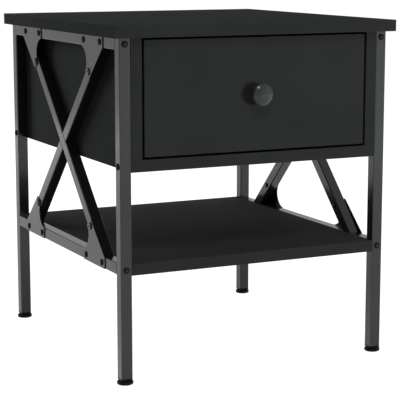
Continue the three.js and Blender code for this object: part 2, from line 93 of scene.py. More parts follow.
def studio_strength(tree, seen, fill, place, axis, limits, mirrored):
    """A strength that is `seen` in the picture and only `fill` as light on matte surfaces. In reflections it
    is `seen` times a factor that runs from mirrored[0] to mirrored[1] between two limits along an axis."""
    path = tree.nodes.new("ShaderNodeLightPath")
    strength = tree.nodes.new("ShaderNodeMapRange")
    strength.inputs["To Min"].default_value = seen
    strength.inputs["To Max"].default_value = fill
    tree.links.new(path.outputs["Is Diffuse Ray"], strength.inputs["Value"])
    apart = tree.nodes.new("ShaderNodeSeparateXYZ")
    tree.links.new(tree.nodes.new("ShaderNodeTexCoord").outputs[place], apart.inputs["Vector"])
    gradient = tree.nodes.new("ShaderNodeMapRange")
    for name, value in zip(("From Min", "From Max", "To Min", "To Max"), limits + mirrored):
        gradient.inputs[name].default_value = value
    tree.links.new(apart.outputs[axis], gradient.inputs["Value"])
    factor = tree.nodes.new("ShaderNodeMapRange")
    tree.links.new(path.outputs["Is Glossy Ray"], factor.inputs["Value"])
    factor.inputs["To Min"].default_value = 1.0
    tree.links.new(gradient.outputs["Result"], factor.inputs["To Max"])
    product = tree.nodes.new("ShaderNodeMath")
    product.operation = "MULTIPLY"
    tree.links.new(strength.outputs["Result"], product.inputs[0])
    tree.links.new(factor.outputs["Result"], product.inputs[1])
    return product.outputs["Value"]


def make_world():
    """White to the eye; what glossy surfaces mirror of it is dimmer near the horizon."""
    world = bpy.data.worlds.new("studio")
    world.use_nodes = True
    tree = world.node_tree
    strength = studio_strength(
        tree, seen=1.0, fill=0.23, place="Generated", axis="Z", limits=(0.1, 0.6), mirrored=(0.64, 0.8))
    tree.links.new(strength, tree.nodes["Background"].inputs["Strength"])
    tree.nodes["Background"].inputs["Color"].default_value = (1, 1, 1, 1)
    bpy.context.scene.world = world
    bpy.context.scene.view_settings.view_transform = "Standard"


def add_softbox(name, position, size, power, mirrored=True):
    """A rectangular light that points at the middle of the table."""
    data = bpy.data.lights.new(name, "AREA")
    data.shape = "RECTANGLE"
    data.size, data.size_y = size
    data.energy = power
    light = bpy.data.objects.new(name, data)
    light.location = position
    light.visible_glossy = mirrored
    light.rotation_mode = "QUATERNION"
    light.rotation_quaternion = (LIGHT_AIM - Vector(position)).to_track_quat("-Z", "Y")
    bpy.context.scene.collection.objects.link(light)


make_camera()
make_world()
add_softbox("softbox_front", position=(-0.48, -1.95, 2.45), size=(0.6, 0.6), power=20)
add_softbox("softbox_right", position=(1.25, -2.25, 0.2), size=(0.5, 0.5), power=51, mirrored=False)
add_softbox("softbox_rear_left", position=(-1.25, 2.25, 0.85), size=(1.5, 1.3), power=118, mirrored=False)
add_softbox("softbox_top", position=(0.3, 0.8, 2.6), size=(1.0, 1.0), power=21, mirrored=False)
add_softbox("reflector_front", position=(1.7, -2.3, 0.6), size=(3.0, 2.4), power=12)

# ---- Materials ----


class Nodes:
    """A material's node tree, with the short calls that every material here uses."""

    def __init__(self, name, roughness, specular):
        self.material = bpy.data.materials.new(name)
        self.material.use_nodes = True
        self.tree = self.material.node_tree
        self.shader = self.tree.nodes["Principled BSDF"]
        self.shader.inputs["Roughness"].default_value = roughness
        self.shader.inputs["Specular IOR Level"].default_value = specular
        self.place = self.add("ShaderNodeTexCoord").outputs["Object"]

    def add(self, kind, **settings):
        node = self.tree.nodes.new(kind)
        for key, value in settings.items():
            setattr(node, key, value)
        return node

    def join(self, output, target):
        self.tree.links.new(output, target)

    def noise(self, feature, detail, roughness=0.5):
        """Noise whose blobs are about `feature` metres across."""
        node = self.add("ShaderNodeTexNoise")
        node.inputs["Scale"].default_value = 1 / feature
        node.inputs["Detail"].default_value = detail
        node.inputs["Roughness"].default_value = roughness
        self.join(self.place, node.inputs["Vector"])
        return node.outputs["Fac"]

    def ramp(self, value, low, high, from_low=0.3, from_high=0.7):
        """Takes the range in which noise mostly lies to the range from low to high."""
        node = self.add("ShaderNodeMapRange")
        node.inputs["From Min"].default_value = from_low
        node.inputs["From Max"].default_value = from_high
        node.inputs["To Min"].default_value = low
        node.inputs["To Max"].default_value = high
        self.join(value, node.inputs["Value"])
        return node.outputs["Result"]

    def multiply(self, a, b):
        node = self.add("ShaderNodeMath", operation="MULTIPLY")
        self.join(a, node.inputs[0])
        self.join(b, node.inputs[1])
        return node.outputs["Value"]

    def attribute(self, name):
        return self.add("ShaderNodeAttribute", attribute_name=name).outputs["Fac"]

    def mix(self, factor, dark, light):
        """A colour between two colours, either of which may be another node's output."""
        node = self.add("ShaderNodeMix", data_type="RGBA")
        self.join(factor, node.inputs["Factor"])
        for value, target in ((dark, node.inputs["A"]), (light, node.inputs["B"])):
            if isinstance(value, tuple):
                target.default_value = (*value, 1)
            else:
                self.join(value, target)
        return node.outputs["Result"]

    def bumps(self, *layers):
        """Each layer is (height output, depth in metres)."""
        normal = None
        for height, depth in layers:
            node = self.add("ShaderNodeBump")
            node.inputs["Strength"].default_value = 1.0
            node.inputs["Distance"].default_value = depth
            self.join(height, node.inputs["Height"])
            if normal:
                self.join(normal, node.inputs["Normal"])
            normal = node.outputs["Normal"]
        self.join(normal, self.shader.inputs["Normal"])

    def paint(self, color):
        self.join(color, self.shader.inputs["Base Color"])

    def gloss(self, roughness):
        self.join(roughness, self.shader.inputs["Roughness"])


def board_material(name, dark, light, worn, specular=0.001):
    """Melamine-faced board: a fine pearl texture, faint clouding, and edges rubbed a little paler."""
    nodes = Nodes(name, roughness=0.8, specular=specular)
    cloud = nodes.ramp(nodes.noise(90 * MM, detail=3), 0, 1)
    face = nodes.mix(cloud, dark, light)
    wear = nodes.ramp(nodes.noise(11 * MM, detail=4), 0, 1, from_low=0.45)
    nodes.paint(nodes.mix(nodes.multiply(nodes.attribute("edge"), wear), face, worn))
    nodes.gloss(nodes.ramp(nodes.noise(4 * MM, detail=3), 0.74, 0.86))
    pearl = (nodes.noise(1.1 * MM, detail=2), 0.04 * MM)
    pores = (nodes.noise(0.35 * MM, detail=1), 0.02 * MM)
    nodes.bumps(pearl, pores)
    return nodes.material


def powder_coat_material(name, dark, light, worn, roughness, specular):
    """Powder-coated steel: orange peel, fine speckle, and corners where the coat is thinner."""
    nodes = Nodes(name, roughness=roughness, specular=specular)
    nodes.shader.inputs["Specular Tint"].default_value = (0.94, 1.0, 0.97, 1)
    speckle = nodes.ramp(nodes.noise(1.2 * MM, detail=3, roughness=0.7), 0, 1)
    face = nodes.mix(speckle, dark, light)
    wear = nodes.ramp(nodes.noise(6 * MM, detail=4), 0, 0.8, from_low=0.45, from_high=0.75)
    nodes.paint(nodes.mix(nodes.multiply(nodes.attribute("edge"), wear), face, worn))
    nodes.gloss(nodes.ramp(nodes.noise(3 * MM, detail=2), roughness - 0.05, roughness + 0.07))
    orange_peel = (nodes.noise(1.6 * MM, detail=1), 0.02 * MM)
    grain = (nodes.noise(0.5 * MM, detail=2), 0.006 * MM)
    nodes.bumps(orange_peel, grain)
    return nodes.material


def plastic_material(name, dark, light, roughness, specular):
    """Moulded plastic with a spark-eroded skin; also the matte black used as painted shade in the recesses of
    screw and bolt heads.
    """
    nodes = Nodes(name, roughness=roughness, specular=specular)
    nodes.paint(nodes.mix(nodes.ramp(nodes.noise(4 * MM, detail=3), 0, 1), dark, light))
    nodes.gloss(nodes.ramp(nodes.noise(1.5 * MM, detail=2), roughness - 0.08, roughness + 0.08))
    nodes.bumps((nodes.noise(0.5 * MM, detail=2), 0.03 * MM))
    return nodes.material


def blackened_material(name, dark, light, roughness, specular):
    """The mottled black finish of screws and bolts."""
    nodes = Nodes(name, roughness=roughness, specular=specular)
    marks = nodes.noise(1.2 * MM, detail=4, roughness=0.65)
    nodes.paint(nodes.mix(nodes.ramp(marks, 0, 1), dark, light))
    nodes.gloss(nodes.ramp(marks, roughness - 0.08, roughness + 0.1))
    nodes.bumps((marks, 0.01 * MM))
    return nodes.material


BOARD = board_material(
    "black_board", (0.0195, 0.0213, 0.0204), (0.0222, 0.0242, 0.0232), worn=(0.038, 0.040, 0.039))
# The shelf takes a copy of the black board that is a little darker, as painted shade under the carcass, and
# glossier.
SHADED_SHELF_BOARD = board_material(
    "shelf_board", (0.0186, 0.0194, 0.0191), (0.0212, 0.0220, 0.0217), worn=(0.038, 0.040, 0.039),
    specular=0.034)
EDGE_BAND = board_material(
    "edge_band", (0.0190, 0.0208, 0.0199), (0.0214, 0.0234, 0.0224), worn=(0.038, 0.040, 0.039))
DRAWER_BOARD = board_material(
    "drawer_board", (0.030, 0.032, 0.031), (0.036, 0.038, 0.037), worn=(0.06, 0.062, 0.061))
FRAME_STEEL = powder_coat_material(
    "powder_coat", (0.0030, 0.0038, 0.0034), (0.0045, 0.0054, 0.0050), worn=(0.016, 0.017, 0.017),
    roughness=0.16, specular=0.40)
KNOB_COAT = powder_coat_material(
    "knob_coat", (0.0200, 0.0212, 0.0208), (0.0250, 0.0262, 0.0258), worn=(0.045, 0.047, 0.046),
    roughness=0.19, specular=0.24)
# A much darker, rougher copy of the knob's coat for its neck and base: painted shade under the head.
KNOB_NECK_SHADE = powder_coat_material(
    "knob_neck_shade", (0.003, 0.003, 0.003), (0.005, 0.005, 0.005), worn=(0.01, 0.01, 0.01),
    roughness=0.35, specular=0.2)
RUNNER_BLACK = powder_coat_material(
    "runner_coat", (0.007, 0.0074, 0.0073), (0.011, 0.0114, 0.0113), worn=(0.03, 0.031, 0.031),
    roughness=0.3, specular=0.3)
FOOT_PLASTIC = plastic_material(
    "black_plastic", (0.0028, 0.0030, 0.0029), (0.0048, 0.0050, 0.0049), roughness=0.42, specular=0.07)
ROLLER_PLASTIC = plastic_material(
    "roller_plastic", (0.60, 0.59, 0.55), (0.68, 0.67, 0.62), roughness=0.4, specular=0.4)
# A matte black with almost no gloss for the faces cut into screw and bolt heads: painted shade in their
# recesses.
RECESS_SHADE = plastic_material(
    "recess_shade", (0.008, 0.0081, 0.0080), (0.012, 0.0122, 0.0121), roughness=0.8, specular=0.02)
SCREW_BLACK = blackened_material(
    "black_oxide", (0.007, 0.0071, 0.0071), (0.011, 0.0112, 0.0112), roughness=0.35, specular=0.04)
# A paler copy of the black oxide for the middles of screw heads and the tops of nuts: a painted highlight.
SCREW_CROWN_HIGHLIGHT = blackened_material(
    "screw_crown_highlight", (0.026, 0.0265, 0.026), (0.040, 0.0405, 0.040), roughness=0.4, specular=0.04)
BOLT_BLACK = blackened_material(
    "bolt_black", (0.0055, 0.006, 0.0058), (0.0095, 0.010, 0.0098), roughness=0.2, specular=0.42)


def floor_material():
    """Pale and even to the eye; what glossy surfaces mirror of it is brighter in front of the table than
    behind it."""
    nodes = Nodes("pale_floor", roughness=0.9, specular=0.0)
    cloud = nodes.ramp(nodes.noise(0.5, detail=2), 0, 1)
    nodes.paint(nodes.mix(cloud, (0.13, 0.13, 0.13), (0.15, 0.15, 0.15)))
    nodes.shader.inputs["Emission Color"].default_value = (1, 1, 1, 1)
    strength = studio_strength(
        nodes.tree, seen=1.0, fill=0.2, place="Object", axis="Y", limits=(-0.35, 0.2), mirrored=(1.35, 0.76))
    nodes.join(strength, nodes.shader.inputs["Emission Strength"])
    return nodes.material


# ---- Mesh building ----

CORNER_STEPS = 6


def new_mesh():
    mesh = bmesh.new()
    mesh.faces.layers.float.new("edge")
    return mesh


def mark_edges(mesh, faces):
    """Marks faces as rounded edges, which the materials show as slightly worn."""
    layer = mesh.faces.layers.float["edge"]
    for face in faces:
        face[layer] = 1.0


def round_edges(mesh, edges, radius, steps=2):
    rounded = bmesh.ops.bevel(mesh, geom=edges, offset=radius, segments=steps, profile=0.5, affect="EDGES")
    mark_edges(mesh, rounded["faces"])


def to_object(name, mesh):
    """Makes a bmesh into an object of the scene, with its faces turned outwards."""
    bmesh.ops.recalc_face_normals(mesh, faces=mesh.faces)
    data = bpy.data.meshes.new(name)
    mesh.to_mesh(data)
    mesh.free()
    return data_object(name, data)


def data_object(name, data):
    piece = bpy.data.objects.new(name, data)
    bpy.context.scene.collection.objects.link(piece)
    return piece


def shade(data, smooth_angle):
    data.polygons.foreach_set("use_smooth", [True] * len(data.polygons))
    data.set_sharp_from_angle(angle=math.radians(smooth_angle))


def finish(piece, material, body, replaced=(), smooth_angle=40):
    """Gives a piece its material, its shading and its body. A mesh that more pieces share is shaded
    with the first of them."""
    data = piece.data
    if not data.materials:
        data.materials.append(material)
    if data.users == 1:
        shade(data, smooth_angle)
    weighted = piece.modifiers.new("weighted_normals", "WEIGHTED_NORMAL")
    weighted.weight = 100
    weighted.keep_sharp = True
    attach(piece, body)
    if replaced:
        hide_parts(*replaced)


def add_box(mesh, centre, size):
    place = Matrix.Translation(centre) @ Matrix.Diagonal((*size, 1))
    bmesh.ops.create_cube(mesh, size=1, matrix=place)


def block(name, low, high, radius):
    """A box with rounded edges."""
    mesh = new_mesh()
    add_box(mesh, (low + high) / 2, high - low)
    round_edges(mesh, mesh.edges[:], radius, steps=3)
    return to_object(name, mesh)


def rounded_square(half, radius):
    """Points of a square with round corners, and for each point whether its next side is a corner's."""
    points = []
    flat = half - radius
    for corner in range(4):
        centre = Matrix.Rotation(corner * math.pi / 2, 2) @ Vector((flat, flat))
        for step in range(CORNER_STEPS + 1):
            angle = (corner + step / CORNER_STEPS) * math.pi / 2
            arm = Vector((math.cos(angle), math.sin(angle))) * radius
            points.append((centre + arm, step < CORNER_STEPS))
    return points


def circle(radius, steps):
    angles = (2 * math.pi * i / steps for i in range(steps))
    return [(radius * math.cos(angle), radius * math.sin(angle)) for angle in angles]


def skin(mesh, rings, closed_ends=False, marks=()):
    """Faces between each ring of vertices and the next. marks[i] tells whether side i is a rounded corner.
    Returns the face that closes the last ring, if the ends are closed."""
    made = []
    count = len(rings[0])
    for ring, following in zip(rings, rings[1:]):
        for i in range(count):
            j = (i + 1) % count
            face = mesh.faces.new((ring[i], ring[j], following[j], following[i]))
            if marks and marks[i]:
                made.append(face)
    mark_edges(mesh, made)
    if not closed_ends:
        return None
    mesh.faces.new(rings[0])
    return mesh.faces.new(rings[-1])


def tube_mesh(to_world, start, end):
    """A hollow square tube. to_world(point, cut) is the place of a point of the section at the start or the
    end cut."""
    outer = rounded_square(TUBE / 2, TUBE_CORNER)
    inner = rounded_square(TUBE / 2 - TUBE_WALL, TUBE_INNER_CORNER)
    mesh = new_mesh()
    rings = [[mesh.verts.new(to_world(point, end_cut)) for point, _ in section]
             for section, end_cut in ((outer, start), (outer, end), (inner, end), (inner, start))]
    marks = [corner for _, corner in outer]
    skin(mesh, rings + rings[:1], marks=marks)
    return mesh


def straight_tube(name, low, high, axis):
    """A square tube that fills a box, along one axis."""
    along = AXES[axis]
    across = [i for i in range(3) if i != along]
    centre = (low + high) / 2

    def to_world(point, cut):
        place = centre.copy()
        place[across[0]] += point[0]
        place[across[1]] += point[1]
        place[along] = cut
        return place

    return to_object(name, tube_mesh(to_world, low[along], high[along]))


def turned_mesh(profile, steps):
    """A solid of revolution around Z from (radius, height) pairs; a radius of 0 is a point on the axis."""
    mesh = new_mesh()
    rings = []
    for radius, height in profile:
        points = circle(radius, steps) if radius else [(0, 0)]
        rings.append([mesh.verts.new((*point, height)) for point in points])
    for ring, following in zip(rings, rings[1:]):
        for i in range(steps):
            j = (i + 1) % steps
            if len(ring) == 1:
                mesh.faces.new((ring[0], following[j], following[i]))
            elif len(following) == 1:
                mesh.faces.new((ring[i], ring[j], following[0]))
            else:
                mesh.faces.new((ring[i], ring[j], following[j], following[i]))
    return mesh


def arc(centre, radius, start, end, steps):
    """Points of an arc in a turned profile, angles in degrees from outwards (0) to up (90)."""
    points = []
    for i in range(steps + 1):
        angle = math.radians(start + (end - start) * i / steps)
        points.append((centre[0] + radius * math.cos(angle), centre[1] + radius * math.sin(angle)))
    return points


def domed_face(radius, start, top, steps):
    """The rest of a turned profile: a spherical cap from its rim to its middle."""
    rise = top - start
    sphere = (radius * radius + rise * rise) / (2 * rise)
    widest = math.asin(radius / sphere)
    angles = [widest * (1 - step / steps) for step in range(1, steps)]
    cap = [(sphere * math.sin(angle), top - sphere * (1 - math.cos(angle))) for angle in angles]
    return cap + [(0, top)]


def facing(direction):
    """The turn that takes +Z to a direction."""
    return Vector(direction).to_track_quat("Z", "Y").to_matrix().to_4x4()


def add_rod(mesh, start, direction, sections, steps=32):
    """Adds a closed rod that leaves a point in a direction, with a (radius, distance) pair per section."""
    place = Matrix.Translation(start) @ facing(direction)
    rings = [[mesh.verts.new(place @ Vector((*point, distance))) for point in circle(radius, steps)]
             for radius, distance in sections]
    skin(mesh, rings, closed_ends=True)


def cut(piece, cutter, outside=None, inside=None):
    """Takes the cutter's mesh away from a piece for good. With materials named, what is left of the piece's
    surface takes `outside` and the new faces take `inside`."""
    bmesh.ops.recalc_face_normals(cutter, faces=cutter.faces)
    data = bpy.data.meshes.new("cutter")
    cutter.to_mesh(data)
    cutter.free()
    tool = data_object("cutter", data)
    modifier = piece.modifiers.new("cut", "BOOLEAN")
    modifier.operation = "DIFFERENCE"
    modifier.solver = "EXACT"
    modifier.object = tool
    if inside:
        piece.data.materials.append(outside)
        data.materials.append(inside)
        modifier.material_mode = "TRANSFER"
    shapes = bpy.context.evaluated_depsgraph_get()
    result = bpy.data.meshes.new_from_object(piece.evaluated_get(shapes))
    piece.modifiers.clear()
    old = piece.data
    piece.data = result
    result.name = piece.name
    bpy.data.objects.remove(tool)
    bpy.data.meshes.remove(data)
    bpy.data.meshes.remove(old)


# ---- Sizes shared by the pieces ----

LEG_LOW, LEG_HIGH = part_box("leg_front_left")
TUBE = LEG_HIGH.x - LEG_LOW.x
TUBE_WALL = 1.5 * MM
TUBE_CORNER = 1.25 * MM
TUBE_INNER_CORNER = 0.4 * MM
MIDDLE_Y = (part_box("shelf")[0].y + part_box("shelf")[1].y) / 2
FRAME_HALF_WIDTH = -LEG_LOW.x
FRAME_HALF_DEPTH = MIDDLE_Y - LEG_LOW.y
UPPER_RAIL_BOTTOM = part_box("upper_side_rail_left")[0].z
LOWER_RAIL_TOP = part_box("lower_side_rail_left")[1].z
BRACE_MIDDLE = (UPPER_RAIL_BOTTOM + LOWER_RAIL_TOP) / 2
RAIL_EDGE = UPPER_RAIL_BOTTOM - BRACE_MIDDLE
LEG_X = FRAME_HALF_WIDTH - TUBE / 2
LEG_Y = FRAME_HALF_DEPTH - TUBE / 2
WELD_GAP = 0.25 * MM  # the CAD's gap between a brace bar and what it meets
CUT_PAST = 1 * MM  # how far a socket's cutter reaches past the surface


def outwards(axis, sign):
    direction = Vector((0, 0, 0))
    direction[AXES[axis]] = sign
    return direction


# ---- Screws ----

SCREW_HEAD_RADIUS = 4.2 * MM
SCREW_HEAD_HEIGHT = 2.0 * MM
SCREW_HEAD_RIM = 0.9 * MM
SCREW_HEAD_ROUNDING = 0.2 * MM
SCREW_CROWN_RADIUS = 1.35 * MM  # the part of the dome that is painted paler: a painted highlight
SCREW_SHANK_RADIUS = 1.9 * MM
SCREW_LENGTH = 14 * MM
SCREW_POINT = 1.5 * MM
RECESS_ARM = 1.2 * MM  # half the length of each slot of the cross
RECESS_SLOT = 0.15 * MM  # half its width
RECESS_DEPTH = 0.6 * MM
BOLT_HEAD_RADIUS = 5 * MM
BOLT_HEAD_HEIGHT = 1.8 * MM
BOLT_HEAD_ROUNDING = 0.6 * MM
BOLT_SHOULDER_DROP = 0.8 * MM  # from the head's top to the middle of its rounding
BOLT_CROWN_RADIUS = 2.5 * MM
BOLT_CROWN_DROP = 0.08 * MM
SOCKET_RADIUS = 1.5 * MM
SOCKET_FLOOR = 0.4 * MM  # above the plate
SOCKET_TURN = math.radians(3)  # keeps its corners off the edges of the head's faces
HEAD_SMOOTHING = 35  # degrees

# How far the screws are turned, in radians. The last two are from one screw of a piece to its next.
RAIL_SCREW_TURN = 0.4
RAIL_SCREW_TURN_PER_METRE = 0.9  # of height above the floor
CARCASS_SCREW_TURN = 0.2
GUSSET_SCREW_TURN = 0.7
RUNNER_SCREW_TURN = 0.5


def cross_cutter(height, arm, slot, depth):
    """Two crossed boxes, centred on a head's top."""
    cutter = new_mesh()
    for length, width in ((arm, slot), (slot, arm)):
        add_box(cutter, (0, 0, height), Vector((2 * length, 2 * width, 2 * depth)))
    return cutter


def shared_data(piece):
    """Keeps only the mesh of a fastener, for all the places where it goes."""
    data = piece.data
    bpy.data.objects.remove(piece)
    return data


def button_screw_data():
    """A screw that points down -Z: a low domed head with a cross recess, on top of z = 0."""
    profile = [
        (0, -SCREW_LENGTH),
        (SCREW_SHANK_RADIUS, -SCREW_LENGTH + SCREW_POINT),
        (SCREW_SHANK_RADIUS, 0),
        (SCREW_HEAD_RADIUS - SCREW_HEAD_ROUNDING, 0),
        (SCREW_HEAD_RADIUS, SCREW_HEAD_ROUNDING),
        (SCREW_HEAD_RADIUS, SCREW_HEAD_RIM),
        *domed_face(SCREW_HEAD_RADIUS, SCREW_HEAD_RIM, SCREW_HEAD_HEIGHT, steps=9),
    ]
    piece = to_object("button_screw", turned_mesh(profile, steps=48))
    recess = cross_cutter(SCREW_HEAD_HEIGHT, RECESS_ARM, RECESS_SLOT, RECESS_DEPTH)
    # The faces of the cross recess take the matte black: painted shade.
    cut(piece, recess, SCREW_BLACK, RECESS_SHADE)
    # The middle of the dome takes the paler material: a painted highlight.
    piece.data.materials.append(SCREW_CROWN_HIGHLIGHT)
    for face in piece.data.polygons:
        if face.material_index == 0 and face.center.z > 0 and face.center.xy.length < SCREW_CROWN_RADIUS:
            face.material_index = 2
    return shared_data(piece)


def socket_bolt_data():
    """A low domed bolt head on a plate, with a hexagon socket."""
    rounding_centre = (BOLT_HEAD_RADIUS - BOLT_HEAD_ROUNDING, BOLT_HEAD_HEIGHT - BOLT_SHOULDER_DROP)
    profile = [
        (0, BOLT_HEAD_HEIGHT),
        (BOLT_CROWN_RADIUS, BOLT_HEAD_HEIGHT - BOLT_CROWN_DROP),
        *arc(rounding_centre, BOLT_HEAD_ROUNDING, start=80, end=0, steps=6),
        (BOLT_HEAD_RADIUS, 0),
        (0, 0),
    ]
    piece = to_object("socket_bolt", turned_mesh(profile, steps=56))
    socket = new_mesh()
    depth = BOLT_HEAD_HEIGHT + CUT_PAST - SOCKET_FLOOR
    top = (0, 0, BOLT_HEAD_HEIGHT + CUT_PAST)
    add_rod(socket, top, (0, 0, -1), [(SOCKET_RADIUS, 0), (SOCKET_RADIUS, depth)], steps=6)
    bmesh.ops.rotate(socket, verts=socket.verts, matrix=Matrix.Rotation(SOCKET_TURN, 3, "Z"))
    # The faces of the socket take the matte black: painted shade.
    cut(piece, socket, BOLT_BLACK, RECESS_SHADE)
    return shared_data(piece)


SCREW_DATA = button_screw_data()
BOLT_DATA = socket_bolt_data()


def place_fastener(name, data, position, direction, body="frame", replaced=(), turn=0.0):
    """Puts a fastener's head on a surface, facing in a direction and turned about its own axis."""
    piece = data_object(name, data)
    piece.matrix_world = Matrix.Translation(position) @ facing(direction) @ Matrix.Rotation(turn, 4, "Z")
    finish(piece, SCREW_BLACK, body, replaced, smooth_angle=HEAD_SMOOTHING)


# ---- Legs and feet ----

CARCASS_LOW, CARCASS_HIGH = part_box("carcass_bottom")
CARCASS_SCREW_Z = (CARCASS_LOW.z + CARCASS_HIGH.z) / 2
RAIL_Z = {level: sum(corner.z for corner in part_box(f"{level}_side_rail_left")) / 2 for level in LEVELS}
FOOT_RIM = 1.6 * MM
FOOT_PAD_TOP = 4.5 * MM
FOOT_NECK_RADIUS = 6 * MM
FOOT_NECK_FLARE = 0.4 * MM
FOOT_NECK_OVERLAP = 0.6 * MM  # how far the neck goes up into the collar
FOOT_COLLAR_BOTTOM = 5.5 * MM
FOOT_COLLAR_CHAMFER = 0.35 * MM
FOOT_PLUG_CLEARANCE = 0.15 * MM
FOOT_PLUG_CORNER = 0.6 * MM


def make_leg(side, end):
    node = f"leg_{end}_{side}"
    leg = straight_tube(f"{node}_tube", *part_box(node), "z")
    finish(leg, FRAME_STEEL, "frame", [node])
    x, y = SIDES[side] * LEG_X, MIDDLE_Y + ENDS[end] * LEG_Y
    end_face = MIDDLE_Y + ENDS[end] * FRAME_HALF_DEPTH
    side_face = SIDES[side] * FRAME_HALF_WIDTH
    for level in LEVELS:
        screw = f"{level}_rail_screw_{end}_{side}"
        position = Vector((x, end_face, RAIL_Z[level]))
        turn = RAIL_SCREW_TURN + RAIL_SCREW_TURN_PER_METRE * RAIL_Z[level]
        place_fastener(f"{screw}_head", SCREW_DATA, position, outwards("y", ENDS[end]),
                       replaced=[screw], turn=turn)
    screw = f"carcass_screw_{end}_{side}"
    position = Vector((side_face, y, CARCASS_SCREW_Z))
    place_fastener(f"{screw}_head", SCREW_DATA, position, outwards("x", SIDES[side]),
                   replaced=[screw], turn=CARCASS_SCREW_TURN)


def make_foot(side, end):
    """A plastic cap: a round pad with soft rims, a short neck and the square collar under the tube."""
    node = f"foot_cap_{end}_{side}"
    low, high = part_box(node)
    base = Vector(((low.x + high.x) / 2, (low.y + high.y) / 2, low.z))
    radius = (high.x - low.x) / 2
    neck_top = FOOT_COLLAR_BOTTOM + FOOT_NECK_OVERLAP
    profile = [
        (0, 0),
        *arc((radius - FOOT_RIM, FOOT_RIM), FOOT_RIM, start=-90, end=0, steps=6),
        *arc((radius - FOOT_RIM, FOOT_PAD_TOP - FOOT_RIM), FOOT_RIM, start=0, end=90, steps=6),
        (FOOT_NECK_RADIUS + FOOT_NECK_FLARE, FOOT_PAD_TOP + FOOT_NECK_FLARE / 4),
        (FOOT_NECK_RADIUS, FOOT_PAD_TOP + FOOT_NECK_FLARE),
        (FOOT_NECK_RADIUS, neck_top),
        (0, neck_top),
    ]
    pad = to_object(f"foot_pad_{end}_{side}", turned_mesh(profile, steps=56))
    pad.matrix_world = Matrix.Translation(base)
    finish(pad, FOOT_PLASTIC, "frame", [node])

    outline = rounded_square(TUBE / 2, TUBE_CORNER)
    chamfered = rounded_square(TUBE / 2 - FOOT_COLLAR_CHAMFER, TUBE_CORNER - FOOT_COLLAR_CHAMFER)
    plug = rounded_square(TUBE / 2 - TUBE_WALL - FOOT_PLUG_CLEARANCE, FOOT_PLUG_CORNER)
    collar_top = LEG_LOW.z - low.z
    mesh = new_mesh()
    rings = []
    for section, height in (
            (chamfered, FOOT_COLLAR_BOTTOM),
            (outline, FOOT_COLLAR_BOTTOM + FOOT_COLLAR_CHAMFER),
            (outline, collar_top),
            (plug, collar_top),
            (plug, high.z - low.z)):
        rings.append([mesh.verts.new(base + Vector((*point, height))) for point, _ in section])
    skin(mesh, rings, closed_ends=True)
    finish(to_object(f"foot_plug_{end}_{side}", mesh), FOOT_PLASTIC, "frame")


# ---- Rails, braces and gusset plates ----

# Distances from the middle of a side frame: along the depth, and up or down.
GUSSET_NEAR = 77 * MM
GUSSET_FAR = 149 * MM
GUSSET_TIP = (103 * MM, 91 * MM)
GUSSET_SCREWS = (85 * MM, 140 * MM)
BAR_BOLT = 100 * MM
NOTCH_CENTRE = (74 * MM, 111.5 * MM)

NOTCH_RADIUS = 21 * MM
NOTCH_END_ANGLE = -0.65  # radians
NOTCH_STEPS = 20
GUSSET_THICKNESS = 1.25 * MM
GUSSET_ROUNDING = 0.25 * MM
NUT_RADIUS = 3.5 * MM
NUT_HEIGHT = 1.5 * MM
NUT_ROUNDING = 1.1 * MM
NUT_FLAT_RADIUS = 1.4 * MM
NUT_HIGHLIGHT_DEPTH = 0.05 * MM  # how far below its top the nut is painted paler: a painted highlight


def make_rail(side, level):
    node = f"{level}_side_rail_{side}"
    rail = straight_tube(f"{node}_tube", *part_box(node), "y")
    finish(rail, FRAME_STEEL, "frame", [node])


def make_bar(name, side, upper_end, bottom_cut, top_cut, node):
    """A brace bar at 45 degrees. A cut is ("level", z) for a horizontal end, or ("square", distance along
    the bar)."""
    direction = Vector((0, upper_end, 1)).normalized()
    across = Vector((0, -upper_end, 1)).normalized()
    centre = Vector((SIDES[side] * LEG_X, MIDDLE_Y, BRACE_MIDDLE))

    def to_world(point, end_cut):
        place = centre + Vector((point[0], 0, 0)) + across * point[1]
        kind, value = end_cut
        distance = (value - place.z) / direction.z if kind == "level" else value
        return place + direction * distance

    bar = to_object(name, tube_mesh(to_world, bottom_cut, top_cut))
    finish(bar, FRAME_STEEL, "frame", [node])


def make_brace(side):
    bottom = ("level", LOWER_RAIL_TOP + WELD_GAP)
    top = ("level", UPPER_RAIL_BOTTOM - WELD_GAP)
    clear = TUBE / 2 + WELD_GAP
    make_bar(f"brace_long_bar_{side}", side, 1, bottom, top, f"brace_through_bar_{side}")
    make_bar(f"brace_short_bar_upper_{side}", side, -1, ("square", clear), top, f"brace_upper_bar_{side}")
    make_bar(f"brace_short_bar_lower_{side}", side, -1, bottom, ("square", -clear), f"brace_lower_bar_{side}")


def gusset_outline():
    """Corners of a gusset plate, with the round notch as an arc."""
    outline = [
        (GUSSET_NEAR, RAIL_EDGE + TUBE),
        (GUSSET_FAR, RAIL_EDGE + TUBE),
        (GUSSET_FAR, RAIL_EDGE),
        GUSSET_TIP,
    ]
    start = math.asin((RAIL_EDGE - NOTCH_CENTRE[1]) / NOTCH_RADIUS)
    for step in range(NOTCH_STEPS + 1):
        angle = NOTCH_END_ANGLE + (start - NOTCH_END_ANGLE) * step / NOTCH_STEPS
        outline.append((
            NOTCH_CENTRE[0] + NOTCH_RADIUS * math.cos(angle),
            NOTCH_CENTRE[1] + NOTCH_RADIUS * math.sin(angle)))
    outline.append((GUSSET_NEAR, RAIL_EDGE))
    return outline


